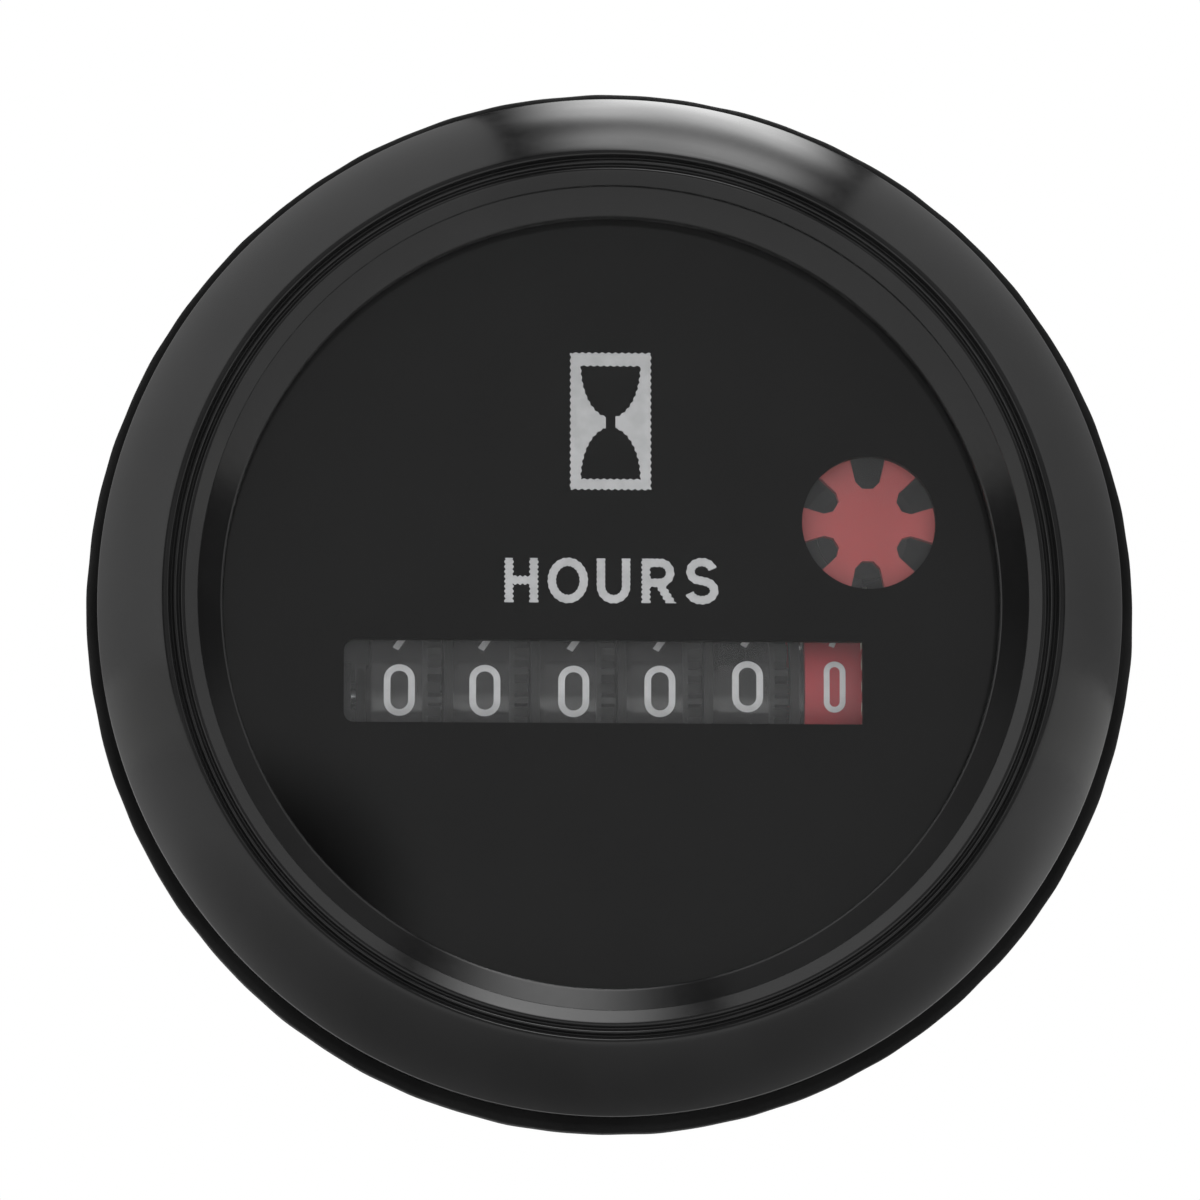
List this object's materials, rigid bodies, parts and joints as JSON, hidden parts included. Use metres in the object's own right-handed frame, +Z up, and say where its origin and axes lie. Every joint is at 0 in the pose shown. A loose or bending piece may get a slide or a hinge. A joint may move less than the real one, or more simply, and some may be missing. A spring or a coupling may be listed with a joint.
{
  "type": "hour meter",
  "caption": "Round panel hour meter: domed glossy black bezel, clear lens, black dial with a number-wheel counter and a turning red indicator, cup case with clamp bracket and blade terminals.",
  "frame": {"origin": "on the axis of the case, in the plane where the rubber gasket meets the front of the panel", "axes": "+Y into the panel along the case axis, so the dial faces -Y; +X to the right and +Z up, seen from the front"},
  "size_m": [0.0618, 0.0541, 0.0618],
  "materials": {
    "bezel": "glossy black",
    "lens": "clear, polished",
    "gasket": "matt black",
    "dial": "matt black",
    "case": "satin black",
    "number_wheel": "satin dark grey",
    "tenths_wheel": "satin red",
    "indicator": "satin red",
    "natural_plastic": "natural moulded",
    "steel": "zinc plated",
    "brass": "machined",
    "magnet": "sintered",
    "copper_wire": "enamelled copper wire",
    "tinned": "tin plated",
    "board": "solder mask",
    "chip": "moulded epoxy",
    "capacitor": "sleeved can",
    "resistor": "lacquered"
  },
  "bodies": {
    "housing": {"bezel": "bezel", "lens": "lens", "lens_gasket": "gasket", "dial_plate": "dial", "panel_gasket": "gasket", "case": "case", "main_plate": "natural_plastic", "counter_shaft": "steel", "pinion_shaft": "steel", "stator_plate": "steel", "coil_core": "steel", "coil_bobbin": "natural_plastic", "coil_winding": "copper_wire", "coil_pins": "tinned", "stator_screws": "steel", "train_bridge": "brass", "bridge_screws": "steel", "plate_screws": "steel", "circuit_board": "board", "quartz_crystal": "steel", "driver_chip": "chip", "capacitor": "capacitor", "series_resistor": "resistor", "board_screws": "steel", "positive_terminal": "tinned", "negative_terminal": "tinned", "mounting_studs": "steel", "mounting_bracket": "steel", "spring_washers": "steel", "stud_nuts": "steel"},
    "rotor": {"rotor_pinion": "natural_plastic", "rotor_magnet": "magnet"},
    "intermediate": {"intermediate_gear": "natural_plastic", "intermediate_arbor": "steel"},
    "indicator": {"indicator_wheel": "indicator", "worm_arbor": "steel", "drive_worm": "natural_plastic", "arbor_gear": "brass"},
    "ten_thousands": {"ten_thousands_wheel": "number_wheel"},
    "thousands": {"thousands_wheel": "number_wheel"},
    "hundreds": {"hundreds_wheel": "number_wheel"},
    "tens": {"tens_wheel": "number_wheel"},
    "units": {"units_wheel": "number_wheel"},
    "tenths": {"tenths_wheel": "tenths_wheel"},
    "ten_thousands_carry": {"ten_thousands_pinion": "natural_plastic"},
    "thousands_carry": {"thousands_pinion": "natural_plastic"},
    "hundreds_carry": {"hundreds_pinion": "natural_plastic"},
    "tens_carry": {"tens_pinion": "natural_plastic"},
    "units_carry": {"units_pinion": "natural_plastic"}
  },
  "joints": [
    {"name": "rotor_spin", "type": "hinge", "parent": "housing", "child": "rotor", "pos_m": [-0.00116, 0.0166, 0.00833], "axis": [0, -1, 0], "range_deg": [-32400, 0]},
    {"name": "intermediate_spin", "type": "hinge", "parent": "housing", "child": "intermediate", "pos_m": [0.00721, 0.0166, 0.0076], "axis": [0, 1, 0], "range_deg": [-5400, 0]},
    {"name": "indicator_spin", "type": "hinge", "parent": "housing", "child": "indicator", "pos_m": [0.0152, 0.00506, 0.005], "axis": [0, -1, 0], "range_deg": [-1080, 0]},
    {"name": "ten_thousands_turn", "type": "hinge", "parent": "housing", "child": "ten_thousands", "pos_m": [-0.0123, 0.00506, -0.0045], "axis": [-1, 0, 0], "range_deg": [-36, 0]},
    {"name": "thousands_turn", "type": "hinge", "parent": "housing", "child": "thousands", "pos_m": [-0.0072, 0.00506, -0.0045], "axis": [-1, 0, 0], "range_deg": [-36, 0]},
    {"name": "hundreds_turn", "type": "hinge", "parent": "housing", "child": "hundreds", "pos_m": [-0.0021, 0.00506, -0.0045], "axis": [-1, 0, 0], "range_deg": [-36, 0]},
    {"name": "tens_turn", "type": "hinge", "parent": "housing", "child": "tens", "pos_m": [0.003, 0.00506, -0.0045], "axis": [-1, 0, 0], "range_deg": [-36, 0]},
    {"name": "units_turn", "type": "hinge", "parent": "housing", "child": "units", "pos_m": [0.0081, 0.00506, -0.0045], "axis": [-1, 0, 0], "range_deg": [-36, 0]},
    {"name": "tenths_turn", "type": "hinge", "parent": "housing", "child": "tenths", "pos_m": [0.0132, 0.00506, -0.0045], "axis": [-1, 0, 0], "range_deg": [-36, 0]},
    {"name": "ten_thousands_carry_turn", "type": "hinge", "parent": "housing", "child": "ten_thousands_carry", "pos_m": [-0.00975, 0.00506, -0.0115], "axis": [1, 0, 0], "range_deg": [-90, 0]},
    {"name": "thousands_carry_turn", "type": "hinge", "parent": "housing", "child": "thousands_carry", "pos_m": [-0.00465, 0.00506, -0.0115], "axis": [1, 0, 0], "range_deg": [-90, 0]},
    {"name": "hundreds_carry_turn", "type": "hinge", "parent": "housing", "child": "hundreds_carry", "pos_m": [0.00045, 0.00506, -0.0115], "axis": [1, 0, 0], "range_deg": [-90, 0]},
    {"name": "tens_carry_turn", "type": "hinge", "parent": "housing", "child": "tens_carry", "pos_m": [0.00555, 0.00506, -0.0115], "axis": [1, 0, 0], "range_deg": [-90, 0]},
    {"name": "units_carry_turn", "type": "hinge", "parent": "housing", "child": "units_carry", "pos_m": [0.01065, 0.00506, -0.0115], "axis": [1, 0, 0], "range_deg": [-90, 0]}
  ],
  "couplings": [
    {"joint": "intermediate_spin", "follows": "rotor_spin", "ratio": 0.16667},
    {"joint": "indicator_spin", "follows": "rotor_spin", "ratio": 0.033333},
    {"joint": "ten_thousands_turn", "follows": "rotor_spin", "ratio": 0.0011111},
    {"joint": "thousands_turn", "follows": "rotor_spin", "ratio": 0.0011111},
    {"joint": "hundreds_turn", "follows": "rotor_spin", "ratio": 0.0011111},
    {"joint": "tens_turn", "follows": "rotor_spin", "ratio": 0.0011111},
    {"joint": "units_turn", "follows": "rotor_spin", "ratio": 0.0011111},
    {"joint": "tenths_turn", "follows": "rotor_spin", "ratio": 0.0011111},
    {"joint": "ten_thousands_carry_turn", "follows": "rotor_spin", "ratio": 0.0027778},
    {"joint": "thousands_carry_turn", "follows": "rotor_spin", "ratio": 0.0027778},
    {"joint": "hundreds_carry_turn", "follows": "rotor_spin", "ratio": 0.0027778},
    {"joint": "tens_carry_turn", "follows": "rotor_spin", "ratio": 0.0027778},
    {"joint": "units_carry_turn", "follows": "rotor_spin", "ratio": 0.0027778}
  ]
}
